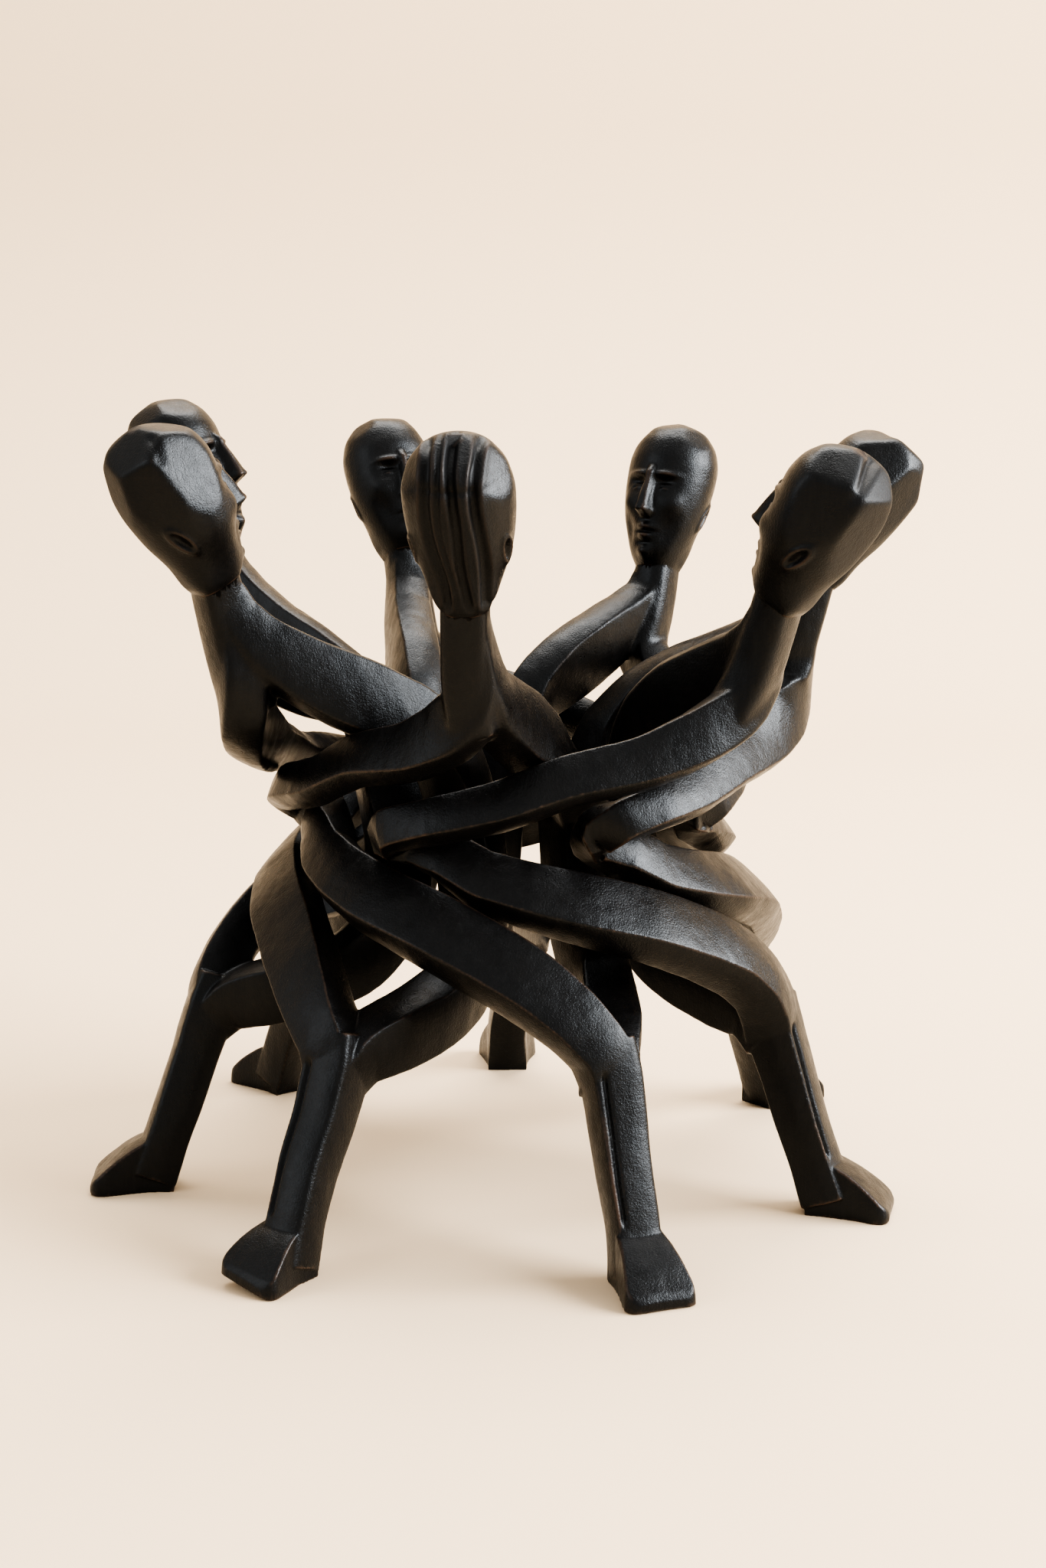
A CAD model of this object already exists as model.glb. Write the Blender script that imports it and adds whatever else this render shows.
import math

import bpy
import numpy as np
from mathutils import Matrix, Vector


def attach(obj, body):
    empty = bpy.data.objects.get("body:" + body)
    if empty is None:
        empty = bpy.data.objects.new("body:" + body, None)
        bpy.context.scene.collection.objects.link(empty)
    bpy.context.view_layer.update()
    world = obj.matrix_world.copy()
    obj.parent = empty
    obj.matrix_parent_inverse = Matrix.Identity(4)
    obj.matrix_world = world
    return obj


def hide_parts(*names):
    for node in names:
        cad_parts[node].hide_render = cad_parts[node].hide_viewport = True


# A ring of seven carved wooden figures that lean outward and interlock at the waist.
# The tables are in millimetres and degrees, and MM turns them into Blender's metres.

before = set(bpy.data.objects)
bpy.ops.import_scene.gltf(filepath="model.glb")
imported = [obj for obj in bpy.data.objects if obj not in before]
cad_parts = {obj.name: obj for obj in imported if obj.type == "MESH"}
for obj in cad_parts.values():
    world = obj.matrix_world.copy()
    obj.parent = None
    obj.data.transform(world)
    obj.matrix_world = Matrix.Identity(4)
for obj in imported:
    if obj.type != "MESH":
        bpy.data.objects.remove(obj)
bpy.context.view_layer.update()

MM = 0.001

# The ring, as in the solids
FIGURES = 7
FIRST_ELBOW_AZIMUTH = -173.5
RING_AXIS = np.array([2.13, 1.22, 0.0])

# How each figure differs from the shared pattern.
# head: turn, shift outward, rise and lean; arm, inner and thigh: rise of that strand;
# elbow: turn, shift outward and rise; knee: turn and shift;
# foot: turn, shift, the toe's own turn, the foot's length and the lift of its clockwise toe corner;
# ear: degrees from the middle of the face; shoulder: shift outward of the shoulder, and the sizes of
# the outer and inner strand there; bulk: size of the head before its facets are cut; facets: degrees from
# the middle of the back, rise and depth of the cut; creases: degrees and rise where each starts and ends,
# its depth there, and its half width.
CHARACTERS = [
    {"name": "figure_front", "head": [-1.5, 0, 8, 22], "arm": 5, "inner": -6, "thigh": -1,
     "elbow": [0, 0, 0], "knee": [-1.5, 2], "foot": [-2.5, 2, 0, 32, 0], "hair": "grooved", "ear": 112,
     "shoulder": [0, 1, 1],
     "bulk": 1, "creases": [],
     "facets": [[8, 62, 2.4], [62, 30, 2.8], [-66, 26, 1.6], [44, -30, 1.2], [-44, -32, 1.2]]},
    {"name": "figure_front_right", "head": [8, 4, 4, 30], "arm": 0, "inner": 3, "thigh": -2,
     "elbow": [0, 0, -3.5], "knee": [-6, -2], "foot": [-8, -4, 12, 31, 0], "hair": "smooth", "ear": 112,
     "shoulder": [0, 0.9, 1],
     "bulk": 1.09, "creases": [[66, 76, -50, 34, 3.4, 0.7, 1.8]],
     "facets": [[-72, 8, 4.4], [-8, -4, 3.8], [-12, 56, 3.4], [-84, 52, 3.4], [52, 14, 3.7], [110, 8, 3.4], [150, 44, 2.6]]},
    {"name": "figure_right", "head": [-3, 3, 5, 30], "arm": -3, "inner": 1, "thigh": -5,
     "elbow": [6, 0, 0], "knee": [0, 0], "foot": [1, 0, 5, 31, 0], "hair": "peaked", "ear": 108,
     "shoulder": [2.5, 1.16, 1],
     "bulk": 1.07, "creases": [],
     "facets": [[10, 74, 4.0], [0, 30, 3.4], [-104, 22, 3.8], [-52, 0, 3.4], [-150, 56, 2.6], [60, 10, 3.4], [110, 10, 3.0]]},
    {"name": "figure_back_right", "head": [-1.5, -1, 0, 18], "arm": 0, "inner": 1, "thigh": 0,
     "elbow": [0, -6, -2], "knee": [2, 0], "foot": [5, -3, 0, 29, 0], "hair": "smooth", "ear": 108,
     "shoulder": [0, 1, 1],
     "bulk": 1, "creases": [],
     "facets": [[180, 60, 1.2], [-120, 36, 1.4], [120, 36, 1.2], [0, 30, 1.6], [-50, -20, 1.4]]},
    {"name": "figure_back_left", "head": [3, 0, 5, 27], "arm": 0, "inner": 2, "thigh": 0,
     "elbow": [0, 0, 0], "knee": [0, 2], "foot": [-1.5, 4, -6, 31, 0], "hair": "parted", "ear": 110,
     "shoulder": [1, 1, 1],
     "bulk": 1, "creases": [],
     "facets": [[180, 60, 1.6], [-110, 28, 2.2], [122, 40, 1.6], [0, 40, 1.8], [40, -20, 1.4]]},
    {"name": "figure_left", "head": [-3, 10, 14, 26], "arm": 4, "inner": 13, "thigh": -1,
     "elbow": [0, 0, 0], "knee": [1, 5], "foot": [3, 4, -8, 31, 0], "hair": "smooth", "ear": 108,
     "shoulder": [2, 0.86, 0.8],
     "bulk": 1.05, "creases": [],
     "facets": [[104, 6, 2.8], [96, 46, 2.1], [158, 44, 2.3], [50, 6, 3.2], [-120, 30, 3.0], [10, 36, 2.8], [-60, 6, 3.0]]},
    {"name": "figure_front_left", "head": [1, 10, 11, 28], "arm": -1, "inner": 7, "thigh": -4,
     "elbow": [0, 0, 0], "knee": [-1, 2], "foot": [-2, 9, -8, 28, 4], "hair": "smooth", "ear": 130,
     "shoulder": [4, 1.04, 0.94],
     "bulk": 1.09, "creases": [[88, 66, 76, 38, 0.9, 0.5, 1.6]],
     "facets": [[101, 12, 4.5], [48, 4, 3.8], [36, 56, 3.2], [165, 62, 2.8], [-6, 8, 3.4], [-60, 14, 3.6], [-112, 10, 3.4]]},
]

# Where the turns of head, elbow and foot begin and end, by height
ELBOW_BOTTOM = 138
ELBOW_LOW = 147
ELBOW_HIGH = 151
ELBOW_TOP = 160
CROSSING_HEIGHT = 166
WAIST_TOP = 165
SHOULDER_TOP = 200
SHOULDER_LOW = 160
SHOULDER_HIGH = 173
SHOULDER_MIDDLE = 186
SHOULDER_REACH = 13
NECK_BASE = 195
NECK_TOP = 222
HIP_TOP = 138
HIP_HEIGHT = 126
THIGH_HEIGHT = 95
KNEE_TOP = 105
KNEE_HEIGHT = 68
ANKLE_HEIGHT = 20

# Stations: angle from the figure's own elbow, distance from the ring axis, height, breadth,
# thickness and roll
OUTER_STRAND = [
    [78, 109, 217, 12.5, 13, 0],
    [78.5, 104.5, 207, 14, 14, 4],
    [79, 102.3, 198, 16.5, 14.5, 10],
    [77.5, 100.3, 188.5, 19, 14.5, 20],
    [72, 96.8, 179.3, 20, 13.2, 29],
    [62, 91.5, 171, 18, 12, 34],
    [46, 86, 165.3, 16, 11.2, 35],
    [30, 85, 157.5, 15, 11, 35],
    [14, 85.5, 153.6, 14, 10.5, 33],
    [3, 83.5, 149.7, 13.5, 11, 20],
    [-0.5, 77, 145.5, 14, 12, 0],
    [5, 71, 141, 15, 13, -15],
    [15, 72, 136, 16, 13.5, -25],
    [25, 76, 130.5, 18, 13, -36],
    [37, 80, 126.5, 20, 13, -42],
    [50, 84, 121.5, 22, 13.5, -44],
    [66, 88, 114, 23, 14.5, -44],
    [79, 92.5, 105, 23, 15.5, -40],
    [88, 98, 97, 22, 16.5, -33],
    [96, 103.5, 86.5, 20, 17, -22],
    [101.5, 107, 75, 18, 17.5, -12],
    [103.5, 109, 63, 16, 17, -5],
]
INNER_STRAND = [
    [78, 109, 218, 12, 13, 0],
    [78.8, 104.5, 209.5, 15, 14, 0],
    [81, 95, 201, 20, 15, 0],
    [85, 80.5, 192.5, 23.5, 15, 0],
    [91, 67.5, 184, 26, 15, 0],
    [99, 58, 175, 25, 15, 0],
    [108, 51, 163, 22, 17, 0],
    [114, 47, 149, 20, 20, 0],
    [117, 45, 133, 19, 21, 0],
    [119, 45, 117, 19, 21, 0],
    [119, 49, 101, 20, 19, 0],
    [117, 58, 88, 21, 18, 0],
    [113, 71, 80, 21, 19, 0],
    [109, 86, 75, 21, 19, 0],
    [105, 101, 70, 18, 17.5, 0],
    [103, 109, 62, 16, 17, 0],
]
LEG = [
    [103, 106, 80, 15, 15, 0],
    [103.5, 109, 67, 17, 17.5, 0],
    [104, 115, 51, 16, 16.5, 0],
    [104.5, 121.5, 35, 15.5, 15.5, 0],
    [105, 127.5, 20, 15, 15, 0],
    [105, 133, 5, 16, 16, 0],
]
NECK = [
    [78, 98, 186, 17, 15, 0],
    [77.5, 104, 203, 15.5, 15, 0],
    [78, 114, 231, 14, 14, 0],
]

# Limb sections: crown of the faces, and rounding of each corner from the outer upper one on round
FACE_CROWN = 1.12
ARM_CORNERS = [0.5, 0.7, 0.7, 0.35]
INNER_CORNERS = [0.6, 0.7, 0.7, 0.6]
LEG_CORNERS = [1.8, 0.45, 0.45, 0.45]
NECK_CORNERS = [4.5, 4.5, 2.0, 2.0]
STEPS_BETWEEN_STATIONS = 6

# How straight the limbs run between their stations, in general and where they fold at the hip
CRISPNESS = 0.25
HIP_CRISPNESS = 0.85
HIP_MIDDLE = 141
HIP_REACH = 11

# Head: place along the axis as a share of its length, half width, half depth, shift to the face
HEAD_LENGTH = 61
HEAD_BASE = [78, 112, 221]
HEAD_SECTIONS = [
    [0, 8, 9, 1.2],
    [0.05, 9.6, 10.8, 1.8],
    [0.2, 13.3, 13.2, 2.2],
    [0.34, 16.2, 15, 1.8],
    [0.43, 17.3, 15.9, 1.4],
    [0.52, 18, 16.6, 1],
    [0.61, 18.4, 17, 0.5],
    [0.76, 17.8, 17, 0],
    [0.89, 14.2, 13.8, 0],
    [0.965, 8.8, 8.8, 0],
    [1, 2.5, 2.5, 0],
]

# Foot
FOOT_WIDTH = 22
HEEL_RADIUS = 125
FOOT_PSI = 105
FOOT_PROFILE = [
    [0, 20, 0.76],
    [0.3, 19.8, 0.8],
    [0.45, 17.8, 0.87],
    [0.65, 13.9, 1.0],
    [0.8, 10.2, 1.11],
    [0.9, 7.4, 1.17],
    [0.96, 5.6, 1.18],
    [1, 3.6, 1.14],
]

# Meshing
BODY_VOXEL = 0.5
SMOOTH_ROUNDS = 1
BODY_TRIANGLES = 90000
JOINT_ROUNDS = 70


def smooth_step(value, low, high):
    share = np.clip((value - low) / (high - low), 0.0, 1.0)
    return share * share * (3 - 2 * share)


def bell(distance):
    return np.exp(-distance * distance)


# Placing points on the ring


def place(stations, azimuth, character, rise=0.0, elbow=(0, 0, 0)):
    """Points for rows of [angle, distance, height], with the figure's own character applied."""
    psi, radius, height = np.asarray(stations, dtype=float).T[:3]
    head_turn, head_out, head_rise = character["head"][:3]
    knee_turn, knee_out = character["knee"]
    foot_turn, foot_out = character["foot"][:2]
    high = smooth_step(height, WAIST_TOP, SHOULDER_TOP)
    low = 1 - smooth_step(height, KNEE_HEIGHT, KNEE_TOP)
    foot = 1 - smooth_step(height, ANKLE_HEIGHT, KNEE_HEIGHT)
    thigh = smooth_step(height, KNEE_HEIGHT, THIGH_HEIGHT) * (1 - smooth_step(height, HIP_HEIGHT, HIP_TOP))
    share = smooth_step(height, ELBOW_HIGH, CROSSING_HEIGHT) * (1 - smooth_step(height, SHOULDER_TOP, NECK_TOP))
    tip = smooth_step(height, ELBOW_BOTTOM, ELBOW_LOW) * (1 - smooth_step(height, ELBOW_HIGH, ELBOW_TOP))
    turn = high * head_turn + low * (knee_turn + (foot_turn - knee_turn) * foot) + tip * elbow[0]
    shift = high * head_out + low * (knee_out + (foot_out - knee_out) * foot) + tip * elbow[1]
    shift = shift + character["shoulder"][0] * bell((height - SHOULDER_MIDDLE) / SHOULDER_REACH)
    lift = smooth_step(height, NECK_BASE, NECK_TOP) * head_rise + thigh * character["thigh"]
    lift = lift + share * rise + tip * elbow[2]
    angle = np.radians(azimuth + psi + turn)
    reach = radius + shift
    return np.stack([reach * np.cos(angle), reach * np.sin(angle), height + lift], axis=1)


def unit(vectors):
    return vectors / np.linalg.norm(vectors, axis=-1, keepdims=True)


def outward(points):
    return unit(points * [1, 1, 0])


def along_ring(points):
    return unit(np.stack([-points[:, 1], points[:, 0], 0 * points[:, 0]], axis=1))


def catmull_rom(points, steps, crispness=None):
    """Centripetal curve through points: samples and their tangents. Crispness of 1 gives straight runs."""
    slack = np.ones(len(points)) if crispness is None else 1 - crispness
    padded = np.vstack([2 * points[0] - points[1], points, 2 * points[-1] - points[-2]])
    samples = []
    tangents = []
    for row in range(1, len(padded) - 2):
        p0, p1, p2, p3 = padded[row - 1:row + 3]
        d0, d1, d2 = [np.linalg.norm(b - a) ** 0.5 for a, b in ((p0, p1), (p1, p2), (p2, p3))]
        start = ((p1 - p0) / d0 - (p2 - p0) / (d0 + d1) + (p2 - p1) / d1) * d1
        finish = ((p2 - p1) / d1 - (p3 - p1) / (d1 + d2) + (p3 - p2) / d2) * d1
        start = start * slack[row - 1]
        finish = finish * slack[row]
        last = row == len(padded) - 3
        for t in np.linspace(0, 1, steps + 1)[:None if last else -1]:
            a = 2 * t ** 3 - 3 * t ** 2 + 1
            b = t ** 3 - 2 * t ** 2 + t
            samples.append(a * p1 + b * start + (1 - a) * p2 + (t ** 3 - t ** 2) * finish)
            run = 6 * (t - t * t) * (p2 - p1)
            tangents.append(run + (3 * t * t - 4 * t + 1) * start + (3 * t * t - 2 * t) * finish)
    return np.array(samples), unit(np.array(tangents))


# Sections


def section(breadth, thickness, corners):
    """Outline of crowned faces and rounded corners, for arrays of sizes: rows of (across, along) pairs."""
    half_b = breadth / 2
    half_t = thickness / 2
    signs = [(1, 1), (-1, 1), (-1, -1), (1, -1)]
    points = []
    for k in range(4):
        here = np.stack([signs[k][0] * half_t, signs[k][1] * half_b], axis=1)
        after = np.stack([signs[(k + 1) % 4][0] * half_t, signs[(k + 1) % 4][1] * half_b], axis=1)
        before = np.stack([signs[k - 1][0] * half_t, signs[k - 1][1] * half_b], axis=1)
        radius = corners[k]
        next_radius = corners[(k + 1) % 4]
        edge = after - here
        length = np.linalg.norm(edge, axis=1)
        back = before - here
        back_length = np.linalg.norm(back, axis=1)
        normal = np.stack([edge[:, 1], -edge[:, 0]], axis=1) / length[:, None]
        normal *= np.sign((normal * (here + after)).sum(axis=1))[:, None]
        back_normal = np.stack([back[:, 1], -back[:, 0]], axis=1) / back_length[:, None]
        back_normal *= np.sign((back_normal * (here + before)).sum(axis=1))[:, None]
        reach = np.minimum(radius, 0.45 * np.minimum(length, back_length))
        crown = (FACE_CROWN - 1) * np.abs((normal * (here + after) / 2).sum(axis=1))
        back_crown = (FACE_CROWN - 1) * np.abs((back_normal * (here + before) / 2).sum(axis=1))
        def on_edge(share):
            bulge = 4 * share * (1 - share) * crown
            return here + edge * share[:, None] + normal * bulge[:, None]
        def on_back(share):
            bulge = 4 * share * (1 - share) * back_crown
            return here + back * share[:, None] + back_normal * bulge[:, None]
        enter = on_back(reach / back_length)
        leave = on_edge(reach / length)
        for t in (0, 0.25, 0.5, 0.75, 1):
            points.append((1 - t) ** 2 * enter + 2 * t * (1 - t) * here + t * t * leave)
        first = reach / length
        last = 1 - np.minimum(next_radius, 0.45 * length) / length
        for t in np.linspace(0, 1, 9)[1:-1]:
            points.append(on_edge(first + (last - first) * t))
    return np.stack(points, axis=1)


def closed_loft(rings):
    """Vertices and faces of a closed skin over rings of points, flat at both ends."""
    count, sides = rings.shape[:2]
    vertices = rings.reshape(-1, 3)
    row, side = np.meshgrid(np.arange(count - 1), np.arange(sides), indexing="ij")
    after = (side + 1) % sides
    quads = np.stack([row * sides + side, row * sides + after, (row + 1) * sides + after, (row + 1) * sides + side],
                     axis=-1).reshape(-1, 4)
    faces = quads.tolist()
    faces.append(list(range(sides))[::-1])
    faces.append([(count - 1) * sides + k for k in range(sides)])
    return vertices, faces


def limb(stations, azimuth, character, reference, corners, rise=0.0, elbow=(0, 0, 0), size=1.0):
    stations = np.array(stations, dtype=float)
    crisp = CRISPNESS + (HIP_CRISPNESS - CRISPNESS) * bell((stations[:, 2] - HIP_MIDDLE) / HIP_REACH)
    crisp[[0, -1]] = 0
    points = place(stations, azimuth, character, rise, elbow)
    centres, tangents = catmull_rom(points, STEPS_BETWEEN_STATIONS, crisp)
    stations[:, 3:5] *= 1 + (size - 1) * smooth_step(stations[:, 2:3], SHOULDER_LOW, SHOULDER_HIGH)
    sizes, _ = catmull_rom(stations[:, 3:] + np.arange(len(stations))[:, None] * 1e-6, STEPS_BETWEEN_STATIONS)
    guide = reference(centres)
    across = unit(guide - tangents * (guide * tangents).sum(axis=1, keepdims=True))
    binormal = np.cross(tangents, across)
    roll = np.radians(sizes[:, 2:3])
    across = across * np.cos(roll) + binormal * np.sin(roll)
    along = np.cross(tangents, across)
    outline = section(sizes[:, 0], sizes[:, 1], corners)
    rings = centres[:, None] + outline[..., 0:1] * across[:, None] + outline[..., 1:2] * along[:, None]
    return closed_loft(rings)


# Head


def smooth_curve(table, position):
    """Values of a table's columns at positions along its first column, without corners at the rows."""
    table = np.asarray(table, dtype=float)
    x = table[:, 0]
    columns = []
    for k in range(1, table.shape[1]):
        y = table[:, k]
        slopes = np.gradient(y, x)
        row = np.clip(np.searchsorted(x, position, side="right") - 1, 0, len(x) - 2)
        span = x[row + 1] - x[row]
        t = (position - x[row]) / span
        a = 2 * t ** 3 - 3 * t ** 2 + 1
        b = t ** 3 - 2 * t ** 2 + t
        c = t ** 3 - t ** 2
        columns.append(a * y[row] + b * span * slopes[row] + (1 - a) * y[row + 1] + c * span * slopes[row + 1])
    return columns


# Marks of the face: place up the head's axis as a share of its length, degrees from the middle,
# height in millimetres, reach up and down, and reach to the sides
FACE_MARKS = [
    {"name": "forehead", "at": 0.74, "side": 0, "height": 0.4, "reach": 0.09, "across": 30},
    {"name": "brow", "at": 0.595, "side": 19, "height": 1.7, "reach": 0.022, "across": 15},
    {"name": "eye socket", "at": 0.53, "side": 20, "height": -3.0, "reach": 0.048, "across": 12},
    {"name": "lid", "at": 0.512, "side": 21, "height": 2.5, "reach": 0.026, "across": 9},
    {"name": "cheek bone", "at": 0.4, "side": 36, "height": 1.2, "reach": 0.07, "across": 14},
    {"name": "cheek hollow", "at": 0.25, "side": 38, "height": -1.2, "reach": 0.1, "across": 15},
    {"name": "nose wing", "at": 0.342, "side": 8, "height": 1.5, "reach": 0.022, "across": 4},
    {"name": "upper lip", "at": 0.238, "side": 0, "height": 1.9, "reach": 0.025, "across": 13},
    {"name": "lower lip", "at": 0.178, "side": 0, "height": 2.0, "reach": 0.026, "across": 11},
    {"name": "mouth line", "at": 0.209, "side": 0, "height": -1.7, "reach": 0.009, "across": 15},
    {"name": "below the lips", "at": 0.135, "side": 0, "height": -0.7, "reach": 0.02, "across": 14},
    {"name": "chin", "at": 0.07, "side": 0, "height": 2.0, "reach": 0.045, "across": 16},
]
NOSE_TIP = 0.335
NOSE_ROOT = 0.6
NOSE_HEIGHT = 6.2
NOSE_ROOT_HEIGHT = 2.2
NOSE_WIDTH = 10
NOSE_ROOT_WIDTH = 6
EYE_LINE = 0.512
EYE_SIDE = 21

EAR_AT = 0.38
EAR_LENGTH = 0.09
EAR_WIDTH = 9
EAR_RIM = 0.7
EAR_HOLLOW = 1.5

# Grooves in the hair, in millimetres: place across the head at the crown and at the nape, depth, half width
GROOVES = [
    [-9.0, -4.8, 2.0, 1.5],
    [0.2, 2.2, 2.2, 1.6],
    [7.8, 8.6, 2.2, 1.5],
    [-4.6, -1.6, 0.7, 0.8],
]
GROOVE_LIP = 0.28


def face_relief(at, angle):
    """How far the surface stands out, at a share of the head's length and degrees from the face's middle."""
    side = np.abs(angle)
    relief = np.zeros_like(at)
    for mark in FACE_MARKS:
        relief += mark["height"] * bell((at - mark["at"]) / mark["reach"]) * bell((side - mark["side"]) / mark["across"])
    up = np.clip((at - NOSE_TIP) / (NOSE_ROOT - NOSE_TIP), 0, 1)
    height = NOSE_HEIGHT + (NOSE_ROOT_HEIGHT - NOSE_HEIGHT) * up
    height = height * smooth_step(at, NOSE_TIP - 0.045, NOSE_TIP) * (1 - smooth_step(at, NOSE_ROOT, NOSE_ROOT + 0.07))
    width = NOSE_WIDTH + (NOSE_ROOT_WIDTH - NOSE_WIDTH) * up
    slope = np.clip(1 - side / width, 0, 1)
    relief += height * smooth_step(slope, 0, 0.6)
    slit_at = EYE_LINE - 0.006 * ((side - EYE_SIDE) / 9) ** 2
    relief -= 1.0 * bell((at - slit_at) / 0.0075) * (1 - smooth_step(np.abs(side - EYE_SIDE), 7, 11))
    return relief


def ear_relief(at, angle, ear_side):
    """A small carved ear: a rim round a hollow, at so many degrees from the face's middle."""
    side = np.abs(angle) - ear_side
    up = at - EAR_AT
    slant = side - up * 70
    distance = np.sqrt((up / EAR_LENGTH) ** 2 + (slant / EAR_WIDTH) ** 2)
    rim = EAR_RIM * bell((distance - 1) / 0.28)
    hollow = -EAR_HOLLOW * (1 - smooth_step(distance, 0.25, 0.95)) * smooth_step(slant / EAR_WIDTH, -1.2, 0.4)
    return rim + hollow


def hair_relief(at, across, depth, style):
    """How the hair or the bare crown is carved, by share of the head's length and millimetres across and back."""
    relief = np.zeros_like(at)
    back = smooth_step(depth, -7, 1)
    if style == "grooved":
        for number, (crown, nape, deep, half) in enumerate(GROOVES):
            middle = nape + (crown - nape) * smooth_step(at, 0.05, 0.8) + 0.5 * np.sin(at * 9 + number * 2.1)
            share = back * smooth_step(at, 0.02, 0.1) * (0.75 + 0.25 * smooth_step(at, 0.5, 0.8))
            line = (across - middle) / half
            relief -= deep * share * bell(line * line)
            relief += GROOVE_LIP * share * (bell((line + 1.7) / 0.55) + 0.7 * bell((line - 1.7) / 0.55))
        relief -= 0.5 * back * bell((at - 0.8) / 0.02) * bell(across / 11)
    if style == "parted":
        relief -= 2.4 * back * bell((across - 5) / 2.4) * smooth_step(at, 0.86, 0.97)
        relief += 0.8 * back * bell((at - 0.84) / 0.06) * bell((across + 5) / 6)
        relief -= 0.8 * back * bell((at - 0.76) / 0.03) * bell((across - 2) / 3)
    if style == "peaked":
        relief += 1.4 * back * bell((at - 0.93) / 0.07) * bell((np.abs(across) - 8) / 4)
        relief -= 1.0 * back * bell((at - 0.85) / 0.05) * bell(across / 5)
    return relief


def grid_normals(rings):
    """Outward unit normals of a grid of points that closes sideways and runs upward."""
    upward = np.gradient(rings, axis=0)
    sideways = np.roll(rings, -1, axis=1) - np.roll(rings, 1, axis=1)
    normals = np.cross(sideways, upward)
    return normals / np.maximum(np.linalg.norm(normals, axis=-1, keepdims=True), 1e-9)


FACET_SOFTNESS = 1.3
HEAD_MIDDLE = 0.6
HEAD_RADIUS = 18


def towards(turn, rise):
    """A direction out of the head: degrees from the middle of its back, and rise."""
    turn = math.radians(turn)
    rise = math.radians(rise)
    return np.array([math.cos(turn) * math.cos(rise), math.sin(turn) * math.cos(rise), math.sin(rise)])


def cut_facets(depth, width, along, facets):
    """Flattens the egg where a carver's blade has left a facet: degrees from the back, rise, and cut."""
    height = along - HEAD_MIDDLE * HEAD_LENGTH
    for turn, rise, cut in facets:
        normal = towards(turn, rise)
        reach = depth * normal[0] + width * normal[1] + height * normal[2]
        over = np.maximum(reach - (reach.max() - cut), 0)
        over = over * over / (over + FACET_SOFTNESS)
        depth = depth - over * normal[0]
        width = width - over * normal[1]
        height = height - over * normal[2]
    return depth, width, height + HEAD_MIDDLE * HEAD_LENGTH


def soften(grid, rounds):
    """Rounds the ridges of a grid that closes sideways."""
    for _ in range(rounds):
        grid = 0.5 * grid + 0.25 * (np.roll(grid, 1, axis=1) + np.roll(grid, -1, axis=1))
        grid[1:-1] = 0.5 * grid[1:-1] + 0.25 * (grid[:-2] + grid[2:])
    return grid


def crease_relief(depth, width, along, creases):
    """Narrow dents that run over the crown from one direction to another."""
    away = unit(np.stack([depth, width, along - HEAD_MIDDLE * HEAD_LENGTH], axis=-1))
    relief = np.zeros_like(depth)
    for start_turn, start_rise, end_turn, end_rise, start_depth, end_depth, half in creases:
        start = towards(start_turn, start_rise)
        normal = unit(np.cross(start, towards(end_turn, end_rise)))
        span = math.acos(start @ towards(end_turn, end_rise))
        travelled = np.arctan2(away @ np.cross(normal, start), away @ start) / span
        beside = np.arcsin(away @ normal) * HEAD_RADIUS
        inside = smooth_step(travelled, -0.2, 0.1) * (1 - smooth_step(travelled, 0.75, 1.1))
        deep = start_depth + (end_depth - start_depth) * np.clip(travelled, 0, 1)
        relief -= deep * inside * bell(beside / half)
    return relief


HEAD_ROWS = 130
HEAD_SIDES = 176
NAPE_SQUARENESS = 0.5
NAPE_TOP = 0.3
RIDGE_ROUNDS = 6


def head_frame(azimuth, character):
    """The middle of the head's base, and the directions up the head, to its back and to its side."""
    base = place([HEAD_BASE], azimuth, character)[0]
    out = outward(base[None])[0]
    side = along_ring(base[None])[0]
    up = np.array([0.0, 0.0, 1.0])
    lean = math.radians(character["head"][3])
    axis = up * math.cos(lean) + out * math.sin(lean)
    back = out * math.cos(lean) - up * math.sin(lean)
    return base, axis, back, side


def head(azimuth, character):
    base, axis, back, side = head_frame(azimuth, character)
    t = np.linspace(0, 1, HEAD_ROWS)
    at = 0.5 * (1 - np.cos(np.pi * (0.06 + 0.94 * t)))
    at = (at - at[0]) / (at[-1] - at[0])
    at = 0.35 * at + 0.65 * t
    half_width, half_depth, forward = smooth_curve(HEAD_SECTIONS, at)
    bulk = 1 + (character["bulk"] - 1) * smooth_step(at, 0.1, 0.4)
    half_width = half_width * bulk
    half_depth = half_depth * bulk
    angle = np.linspace(0, 360, HEAD_SIDES, endpoint=False)
    at_grid, angle_grid = np.meshgrid(at, angle, indexing="ij")
    from_face = angle_grid - 180
    turn = np.radians(angle_grid)
    boxy = 1 - NAPE_SQUARENESS * (1 - smooth_step(at_grid, 0, NAPE_TOP)) * smooth_step(np.cos(turn), -0.2, 0.4)
    depth = np.sign(np.cos(turn)) * np.abs(np.cos(turn)) ** boxy * half_depth[:, None] - forward[:, None]
    width = np.sign(np.sin(turn)) * np.abs(np.sin(turn)) ** boxy * half_width[:, None]
    along = at_grid * HEAD_LENGTH
    planes = cut_facets(depth, width, along, character["facets"])
    depth, width, along = [soften(grid, RIDGE_ROUNDS) for grid in planes]
    relief = face_relief(at_grid, from_face) + ear_relief(at_grid, from_face, character["ear"])
    hair = hair_relief(at_grid, width, depth, character["hair"])
    hair += crease_relief(depth, width, along, character["creases"])
    depth = depth + np.cos(turn) * relief
    width = width + np.sin(turn) * relief
    rings = base + along[..., None] * axis + depth[..., None] * back + width[..., None] * side
    normals = grid_normals(rings)
    normals[-1] = axis
    return closed_loft(rings + normals * hair[..., None])


# Foot

FOOT_ROWS = 40


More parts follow.
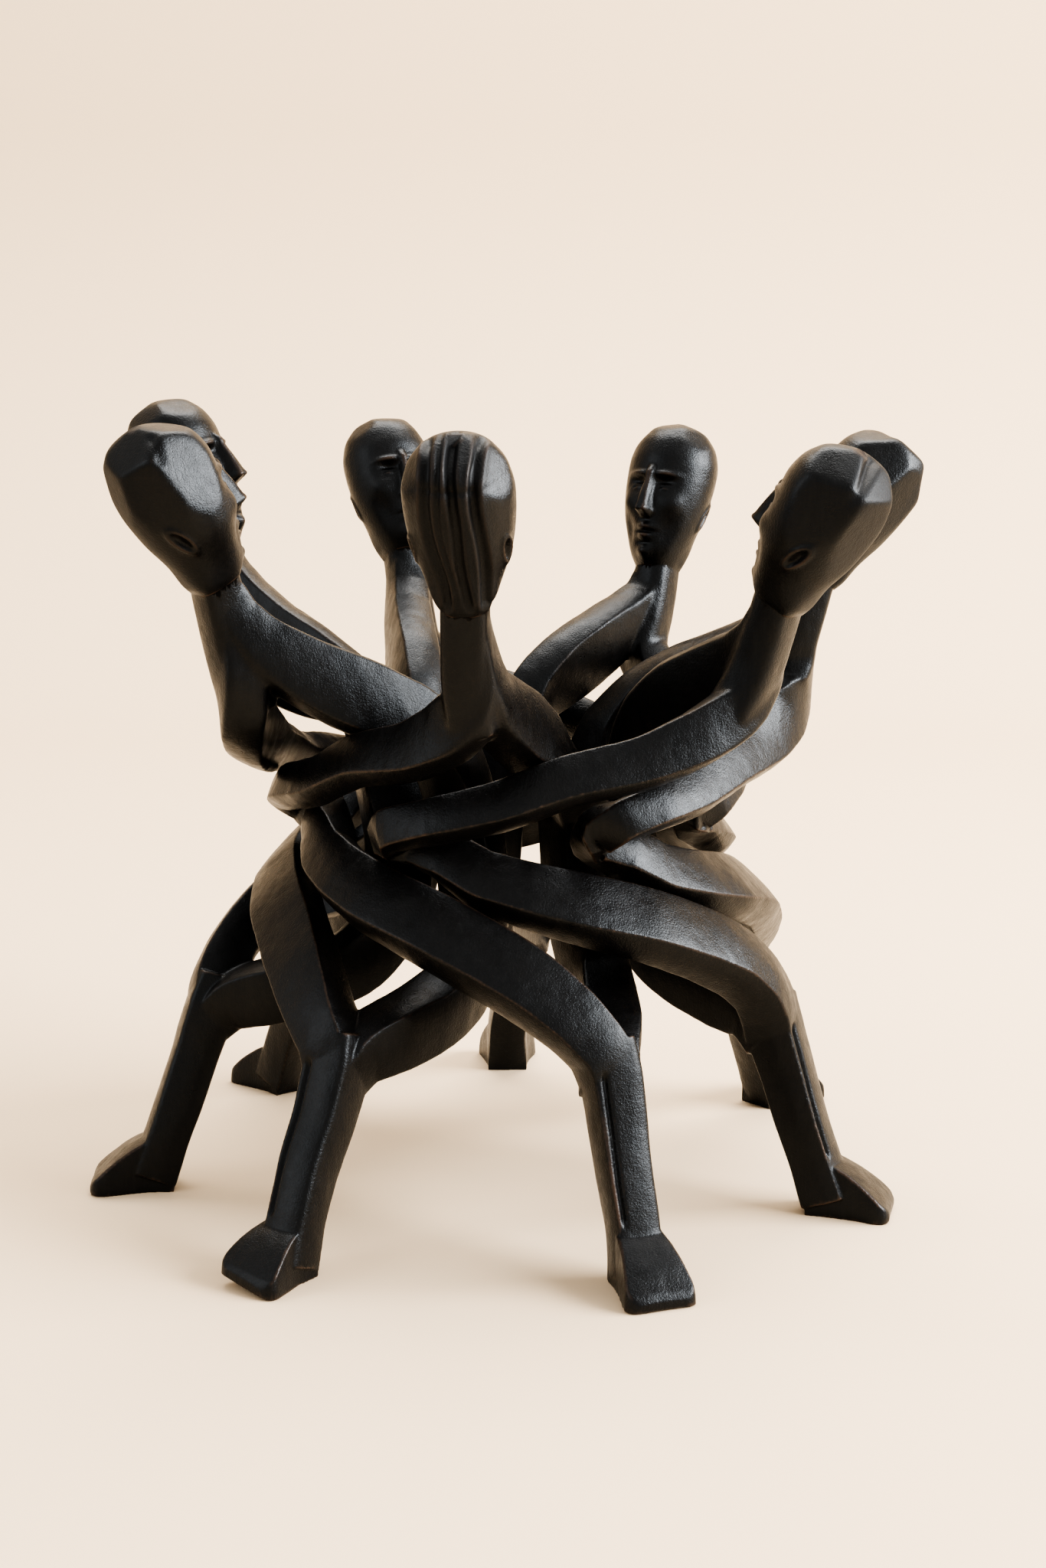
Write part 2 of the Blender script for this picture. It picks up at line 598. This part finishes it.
def foot(azimuth, character):
    heel = place([[FOOT_PSI, HEEL_RADIUS, 0]], azimuth, character)[0]
    toe_turn, length, lift = character["foot"][2:]
    out = outward(heel[None])[0]
    angle = math.radians(toe_turn)
    forward = np.array([out[0] * math.cos(angle) - out[1] * math.sin(angle),
                        out[0] * math.sin(angle) + out[1] * math.cos(angle), 0])
    side = np.array([-forward[1], forward[0], 0])
    t = np.sin(np.linspace(0, math.pi / 2, FOOT_ROWS))
    height, width = smooth_curve(FOOT_PROFILE, t)
    half = FOOT_WIDTH / 2 * width
    round_off = np.sqrt(np.clip(1 - (np.maximum(t - 0.84, 0) / 0.168) ** 2, 0, 1))
    half = half * (0.62 + 0.38 * round_off)
    bottom = 1.0 * (1 - round_off)
    rings = []
    for row in range(FOOT_ROWS):
        h, w, low = height[row], half[row], bottom[row]
        rise = lift * max(t[row] - 0.3, 0) / 0.7
        outline = [[-w, low], [0, low], [w, low], [w * 0.985, low + (h - low) * 0.5], [w * 0.95, h - 0.9]]
        outline += [[w * 0.89, h - 0.35], [w * 0.5, h - 0.05], [0, h + 0.1], [-w * 0.5, h - 0.05]]
        outline += [[-w * 0.89, h - 0.35], [-w * 0.95, h - 0.9], [-w * 0.985, low + (h - low) * 0.5]]
        centre = heel + forward * length * t[row]
        ring = []
        for x, z in outline:
            share = 0.5 - 0.5 * x / max(w, 0.1)
            ring.append(centre + side * x + np.array([0, 0, z + rise * share]))
        rings.append(ring)
    return closed_loft(np.array(rings))


# Meshes


def mesh_from(name, vertices, faces):
    mesh = bpy.data.meshes.new(name)
    mesh.from_pydata(vertices.tolist(), [], faces)
    mesh.update()
    return mesh


def joined(parts):
    """Several closed skins as one list of vertices and faces."""
    vertices = []
    faces = []
    total = 0
    for part_vertices, part_faces in parts:
        vertices.append(part_vertices)
        faces += [[k + total for k in face] for face in part_faces]
        total += len(part_vertices)
    return np.vstack(vertices), faces


def apply_modifiers(item):
    """The item's mesh with its modifiers made real."""
    graph = bpy.context.evaluated_depsgraph_get()
    graph.update()
    made = bpy.data.meshes.new_from_object(item.evaluated_get(graph))
    item.modifiers.clear()
    item.data = made
    return made


def coordinates(mesh):
    flat = np.empty(len(mesh.vertices) * 3)
    mesh.vertices.foreach_get("co", flat)
    return flat.reshape(-1, 3)


def set_coordinates(mesh, points):
    mesh.vertices.foreach_set("co", points.ravel())
    mesh.update()


def edge_pairs(mesh):
    flat = np.empty(len(mesh.edges) * 2, dtype=np.int64)
    mesh.edges.foreach_get("vertices", flat)
    return flat.reshape(-1, 2)


def neighbour_mean(values, pairs):
    """The mean of each vertex's neighbours."""
    count = np.bincount(pairs.ravel(), minlength=len(values))
    total = np.zeros_like(values)
    for k in range(values.shape[1]):
        total[:, k] = np.bincount(pairs[:, 0], weights=values[pairs[:, 1], k], minlength=len(values))
        total[:, k] += np.bincount(pairs[:, 1], weights=values[pairs[:, 0], k], minlength=len(values))
    return total / np.maximum(count, 1)[:, None]


def relax(points, pairs, rounds, share=None):
    """Smooths points without shrinking them much."""
    weight = 1.0 if share is None else share[:, None]
    for _ in range(rounds):
        points = points + 0.5 * weight * (neighbour_mean(points, pairs) - points)
        points = points - 0.52 * weight * (neighbour_mean(points, pairs) - points)
    return points


def blend_in(points, pairs, rounds, share):
    """Smooths points with shrinking, where share is above nothing."""
    for _ in range(rounds):
        points = points + 0.6 * share[:, None] * (neighbour_mean(points, pairs) - points)
    return points


def lattice_noise(points, size, seed):
    """Smooth noise from -1 to 1 with lumps of the given size in millimetres."""
    scaled = points / size + seed * 17.31
    cell = np.floor(scaled).astype(np.int64)
    share = scaled - cell
    share = share * share * (3 - 2 * share)
    total = np.zeros(len(points))
    for dx in (0, 1):
        for dy in (0, 1):
            for dz in (0, 1):
                corner = cell + [dx, dy, dz]
                mixed = (corner[:, 0] * 73856093) ^ (corner[:, 1] * 19349663) ^ (corner[:, 2] * 83492791)
                mixed = (mixed ^ (mixed >> 13)) * 1274126177
                value = ((mixed >> 7) & 0xFFFF) / 32767.5 - 1
                weight = np.abs(1 - dx - share[:, 0]) * np.abs(1 - dy - share[:, 1]) * np.abs(1 - dz - share[:, 2])
                total += value * weight
    return total


def vertex_normals(mesh):
    flat = np.empty(len(mesh.vertices) * 3)
    mesh.vertices.foreach_get("normal", flat)
    return flat.reshape(-1, 3)


CHANNEL_DEPTH = 1.5
CHANNEL_AT = -5.4
CHANNEL_HALF_WIDTH = 0.9
CHANNEL_LOW = 21
CHANNEL_HIGH = 72


def shin_channel(points, azimuth, character):
    """Depth of the narrow channel that runs down the outer face of each shin."""
    line = place(LEG, azimuth, character)[::-1]
    centre = np.stack([np.interp(points[:, 2], line[:, 2], line[:, k]) for k in range(3)], axis=1)
    away = points - centre
    out = (away * outward(centre)).sum(axis=1)
    side = (away * along_ring(centre)).sum(axis=1)
    height = smooth_step(points[:, 2], CHANNEL_LOW, CHANNEL_LOW + 4)
    height = height * (1 - smooth_step(points[:, 2], CHANNEL_HIGH - 4, CHANNEL_HIGH))
    near = smooth_step(out, 3, 5) * (1 - smooth_step(out, 14, 16))
    return CHANNEL_DEPTH * height * near * bell((side - CHANNEL_AT) / CHANNEL_HALF_WIDTH)


def body(name, azimuth, character):
    """Arms, thighs, leg, neck and foot of one figure as one skin."""
    outer_size, inner_size = character["shoulder"][1:]
    outer = limb(OUTER_STRAND, azimuth, character, outward, ARM_CORNERS, character["arm"], character["elbow"],
                 outer_size)
    inner = limb(INNER_STRAND, azimuth, character, along_ring, INNER_CORNERS, character["inner"], size=inner_size)
    leg = limb(LEG, azimuth, character, along_ring, LEG_CORNERS)
    neck = limb(NECK, azimuth, character, along_ring, NECK_CORNERS)
    vertices, faces = joined([outer, inner, leg, neck, foot(azimuth, character)])
    item = bpy.data.objects.new(name, mesh_from(name, vertices, faces))
    bpy.context.scene.collection.objects.link(item)
    remesh = item.modifiers.new("skin", "REMESH")
    remesh.mode = "VOXEL"
    remesh.voxel_size = BODY_VOXEL
    mesh = apply_modifiers(item)
    points = coordinates(mesh)
    pairs = edge_pairs(mesh)
    points = relax(points, pairs, SMOOTH_ROUNDS)
    neck_root = place([[79, 101, 196]], azimuth, character)[0]
    knee = place([[104, 104, 72]], azimuth, character)[0]
    share = bell(np.linalg.norm((points - neck_root) / [1, 1, 1.2], axis=1) / 13)
    share = np.maximum(share, 0.12 * bell(np.linalg.norm(points - knee, axis=1) / 11))
    points = blend_in(points, pairs, JOINT_ROUNDS, np.clip(share * 1.2, 0, 1))
    set_coordinates(mesh, points)
    normals = vertex_normals(mesh)
    marks = 0.2 * lattice_noise(points * [1, 1, 0.6], 9, 3) + 0.09 * lattice_noise(points * [1, 1, 0.4], 3.2, 5)
    marks -= shin_channel(points, azimuth, character)
    points = points + normals * marks[:, None]
    points[:, 2] = np.maximum(points[:, 2], 0)
    set_coordinates(mesh, points)
    return item


def wear(mesh):
    """Stores how sharply each vertex stands out, for the worn edges of the wood."""
    points = coordinates(mesh)
    pairs = edge_pairs(mesh)
    normals = vertex_normals(mesh)
    hollow = ((neighbour_mean(points, pairs) - points) * normals).sum(axis=1)
    length = np.linalg.norm(points[pairs[:, 0]] - points[pairs[:, 1]], axis=1)
    count = np.bincount(pairs.ravel(), minlength=len(points))
    spread = np.bincount(pairs[:, 0], weights=length, minlength=len(points))
    spread += np.bincount(pairs[:, 1], weights=length, minlength=len(points))
    spread = spread / np.maximum(count, 1)
    bend = (-hollow / np.maximum(spread, 1e-6) ** 2)[:, None]
    for _ in range(3):
        bend = 0.5 * bend + 0.5 * neighbour_mean(bend, pairs)
    bend = bend[:, 0]
    attribute = mesh.attributes.new("wear", "FLOAT", "POINT")
    attribute.data.foreach_set("value", np.clip(bend, -1, 1).astype(np.float32))


def hair_share(mesh, azimuth, character):
    """Stores where the head is hair or a bare back, which is left rougher than the rest."""
    base, axis, back, side = head_frame(azimuth, character)
    away = coordinates(mesh) - base
    share = smooth_step(away @ axis, 1, 4) * smooth_step(away @ back, -6, 1)
    share = share * (1 - smooth_step(np.abs(away @ side), 9, 13))
    attribute = mesh.attributes.new("hair", "FLOAT", "POINT")
    attribute.data.foreach_set("value", share.astype(np.float32))


def figure(index, character):
    name = character["name"]
    azimuth = FIRST_ELBOW_AZIMUTH + index * 360 / FIGURES
    item = body("carved_" + name, azimuth, character)
    vertices, faces = head(azimuth, character)
    top = bpy.data.objects.new("head", mesh_from("head", vertices, faces))
    bpy.context.scene.collection.objects.link(top)
    if len(item.data.polygons) * 2 > BODY_TRIANGLES:
        fewer = item.modifiers.new("fewer", "DECIMATE")
        fewer.ratio = BODY_TRIANGLES / (len(item.data.polygons) * 2)
    union = item.modifiers.new("union", "BOOLEAN")
    union.operation = "UNION"
    union.object = top
    union.solver = "EXACT"
    mesh = apply_modifiers(item)
    bpy.data.objects.remove(top)
    wear(mesh)
    hair_share(mesh, azimuth, character)
    points = (coordinates(mesh) + RING_AXIS) * MM
    set_coordinates(mesh, points)
    mesh.shade_smooth()
    mesh.materials.clear()
    mesh.materials.append(WOOD)
    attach(item, "root")
    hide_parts(name)
    print(name, len(mesh.vertices), "vertices", sum(len(p.vertices) - 2 for p in mesh.polygons), "triangles")


# Materials


def node(tree, kind, **settings):
    made = tree.nodes.new(kind)
    for key, value in settings.items():
        setattr(made, key, value)
    return made


def ramp(tree, source, stops):
    made = node(tree, "ShaderNodeValToRGB")
    while len(made.color_ramp.elements) < len(stops):
        made.color_ramp.elements.new(0.5)
    for element, (position, colour) in zip(made.color_ramp.elements, stops):
        element.position = position
        element.color = colour
    tree.links.new(source, made.inputs["Fac"])
    return made.outputs["Color"]


def grey(value):
    return (value, value, value, 1)


def noise(tree, vector, scale, detail=4, roughness=0.55):
    made = node(tree, "ShaderNodeTexNoise")
    made.inputs["Scale"].default_value = scale
    made.inputs["Detail"].default_value = detail
    made.inputs["Roughness"].default_value = roughness
    tree.links.new(vector, made.inputs["Vector"])
    return made.outputs["Fac"]


def mix_colours(tree, share, first, second, blend="MIX"):
    made = node(tree, "ShaderNodeMix", data_type="RGBA", blend_type=blend)
    for value, socket in ((share, made.inputs[0]), (first, made.inputs[6]), (second, made.inputs[7])):
        if isinstance(value, bpy.types.NodeSocket):
            tree.links.new(value, socket)
        else:
            socket.default_value = value
    return made.outputs[2]


def calculate(tree, operation, first, second=0.0):
    made = node(tree, "ShaderNodeMath", operation=operation, use_clamp=False)
    for value, socket in ((first, made.inputs[0]), (second, made.inputs[1])):
        if isinstance(value, bpy.types.NodeSocket):
            tree.links.new(value, socket)
        else:
            socket.default_value = value
    return made.outputs[0]


def stained_wood():
    """Hardwood stained almost black and waxed, with warm brown where edges have worn."""
    material = bpy.data.materials.new("stained_wood")
    material.use_nodes = True
    tree = material.node_tree
    shader = tree.nodes["Principled BSDF"]
    where = node(tree, "ShaderNodeTexCoord").outputs["Object"]
    grain_map = node(tree, "ShaderNodeMapping")
    grain_map.inputs["Scale"].default_value = (1, 1, 0.07)
    tree.links.new(where, grain_map.inputs["Vector"])
    long_map = node(tree, "ShaderNodeMapping")
    long_map.inputs["Scale"].default_value = (1, 1, 0.2)
    tree.links.new(where, long_map.inputs["Vector"])
    fine_grain = noise(tree, grain_map.outputs["Vector"], 1300, 3, 0.6)
    broad_grain = noise(tree, long_map.outputs["Vector"], 160, 5, 0.6)
    clouds = noise(tree, where, 45, 4, 0.6)
    speckle = noise(tree, where, 1500, 2, 0.7)
    dents = noise(tree, where, 260, 3, 0.55)

    hair = node(tree, "ShaderNodeAttribute", attribute_name="hair").outputs["Fac"]
    worn = node(tree, "ShaderNodeAttribute", attribute_name="wear").outputs["Fac"]
    edge = ramp(tree, calculate(tree, "MULTIPLY", worn, calculate(tree, "ADD", clouds, 0.35)),
                [(0.09, grey(0)), (0.26, grey(1))])

    base = ramp(tree, broad_grain, [(0.3, (0.0018, 0.0017, 0.0018, 1)), (0.75, (0.0046, 0.0041, 0.0040, 1))])
    base = mix_colours(tree, calculate(tree, "MULTIPLY", clouds, 0.6), base, (0.0042, 0.0036, 0.0034, 1))
    streaks = ramp(tree, fine_grain, [(0.35, grey(0.75)), (0.7, grey(1.3))])
    base = mix_colours(tree, 1.0, base, streaks, "MULTIPLY")
    shown = calculate(tree, "SUBTRACT", 0.55, calculate(tree, "MULTIPLY", hair, 0.38))
    colour = mix_colours(tree, calculate(tree, "MULTIPLY", edge, shown), base, (0.078, 0.049, 0.033, 1))
    flecks = ramp(tree, speckle, [(0.8, grey(0)), (0.86, grey(0.35))])
    colour = mix_colours(tree, flecks, colour, (0.12, 0.09, 0.065, 1))
    tree.links.new(colour, shader.inputs["Base Color"])

    rough = ramp(tree, clouds, [(0.3, grey(0.25)), (0.7, grey(0.4))])
    rough = mix_colours(tree, 0.35, rough, ramp(tree, dents, [(0.3, grey(0.22)), (0.7, grey(0.55))]))
    rough = mix_colours(tree, calculate(tree, "MULTIPLY", hair, 0.75), rough, grey(0.62))
    tree.links.new(rough, shader.inputs["Roughness"])
    shader.inputs["IOR"].default_value = 1.5
    shader.inputs["Specular IOR Level"].default_value = 0.22
    shader.inputs["Specular Tint"].default_value = (0.82, 0.91, 1.0, 1)
    shader.inputs["Coat Weight"].default_value = 0.06
    shader.inputs["Coat Roughness"].default_value = 0.25

    height = calculate(tree, "ADD", calculate(tree, "MULTIPLY", fine_grain, 0.22), calculate(tree, "MULTIPLY", dents, 0.5))
    height = calculate(tree, "ADD", height, calculate(tree, "MULTIPLY", speckle, 0.5))
    bump = node(tree, "ShaderNodeBump")
    bump.inputs["Strength"].default_value = 0.7
    bump.inputs["Distance"].default_value = 0.0005
    tree.links.new(height, bump.inputs["Height"])
    tree.links.new(bump.outputs["Normal"], shader.inputs["Normal"])
    return material


def pale_floor():
    material = bpy.data.materials.new("pale_floor")
    material.use_nodes = True
    shader = material.node_tree.nodes["Principled BSDF"]
    shader.inputs["Base Color"].default_value = (0.63, 0.5, 0.355, 1)
    shader.inputs["Roughness"].default_value = 0.9
    shader.inputs["Specular IOR Level"].default_value = 0.2
    return material


WOOD = stained_wood()

for index, character in enumerate(CHARACTERS):
    figure(index, character)


# Floor, light and camera

FLOOR_HALF_WIDTH = 4.0
FLOOR_FRONT = -4.0
FLOOR_BACK = 1.0
BACKDROP_RADIUS = 0.5
BACKDROP_HEIGHT = 2.5


def stage():
    """A floor that curves up into a backdrop."""
    profile = [(FLOOR_FRONT, 0.0), (FLOOR_BACK, 0.0)]
    for k in range(1, 13):
        turn = math.pi / 2 * k / 12
        profile.append((FLOOR_BACK + BACKDROP_RADIUS * math.sin(turn), BACKDROP_RADIUS * (1 - math.cos(turn))))
    profile.append((FLOOR_BACK + BACKDROP_RADIUS, BACKDROP_HEIGHT))
    vertices = [(side * FLOOR_HALF_WIDTH, y, z) for y, z in profile for side in (-1, 1)]
    faces = [(2 * k, 2 * k + 1, 2 * k + 3, 2 * k + 2) for k in range(len(profile) - 1)]
    mesh = bpy.data.meshes.new("floor")
    mesh.from_pydata(vertices, [], faces)
    mesh.shade_smooth()
    mesh.materials.append(pale_floor())
    item = bpy.data.objects.new("floor", mesh)
    bpy.context.scene.collection.objects.link(item)


def area_light(name, place_at, aim, size, watts, colour):
    light = bpy.data.lights.new(name, "AREA")
    light.shape = "RECTANGLE"
    light.size, light.size_y = size
    light.energy = watts
    light.color = colour
    item = bpy.data.objects.new(name, light)
    item.location = place_at
    item.rotation_euler = (Vector(aim) - Vector(place_at)).to_track_quat("-Z", "Y").to_euler()
    bpy.context.scene.collection.objects.link(item)


stage()
area_light("key", (1.75, -0.35, 1.0), (0, 0, 0.14), (1.6, 0.85), 125, (1.0, 0.985, 0.97))
area_light("top", (0.1, 1.0, 2.2), (0, 0.1, 0), (2.0, 1.2), 75, (1.0, 0.97, 0.93))
area_light("fill", (-2.0, -0.9, 1.1), (0, 0, 0.15), (0.8, 1.2), 12, (0.96, 0.98, 1.0))

world = bpy.data.worlds.new("room")
world.use_nodes = True
world.node_tree.nodes["Background"].inputs["Color"].default_value = (1.0, 0.95, 0.88, 1)
world.node_tree.nodes["Background"].inputs["Strength"].default_value = 1.0
bpy.context.scene.world = world

lens = bpy.data.cameras.new("camera")
lens.lens = 57.48
lens.sensor_width = 36
camera = bpy.data.objects.new("camera", lens)
camera.location = (0.00722, -0.92888, 0.320)
camera.rotation_euler = (math.radians(79.6), 0, 0)
bpy.context.scene.collection.objects.link(camera)
bpy.context.scene.camera = camera
bpy.context.scene.view_settings.look = "AgX - High Contrast"

bpy.context.view_layer.update()
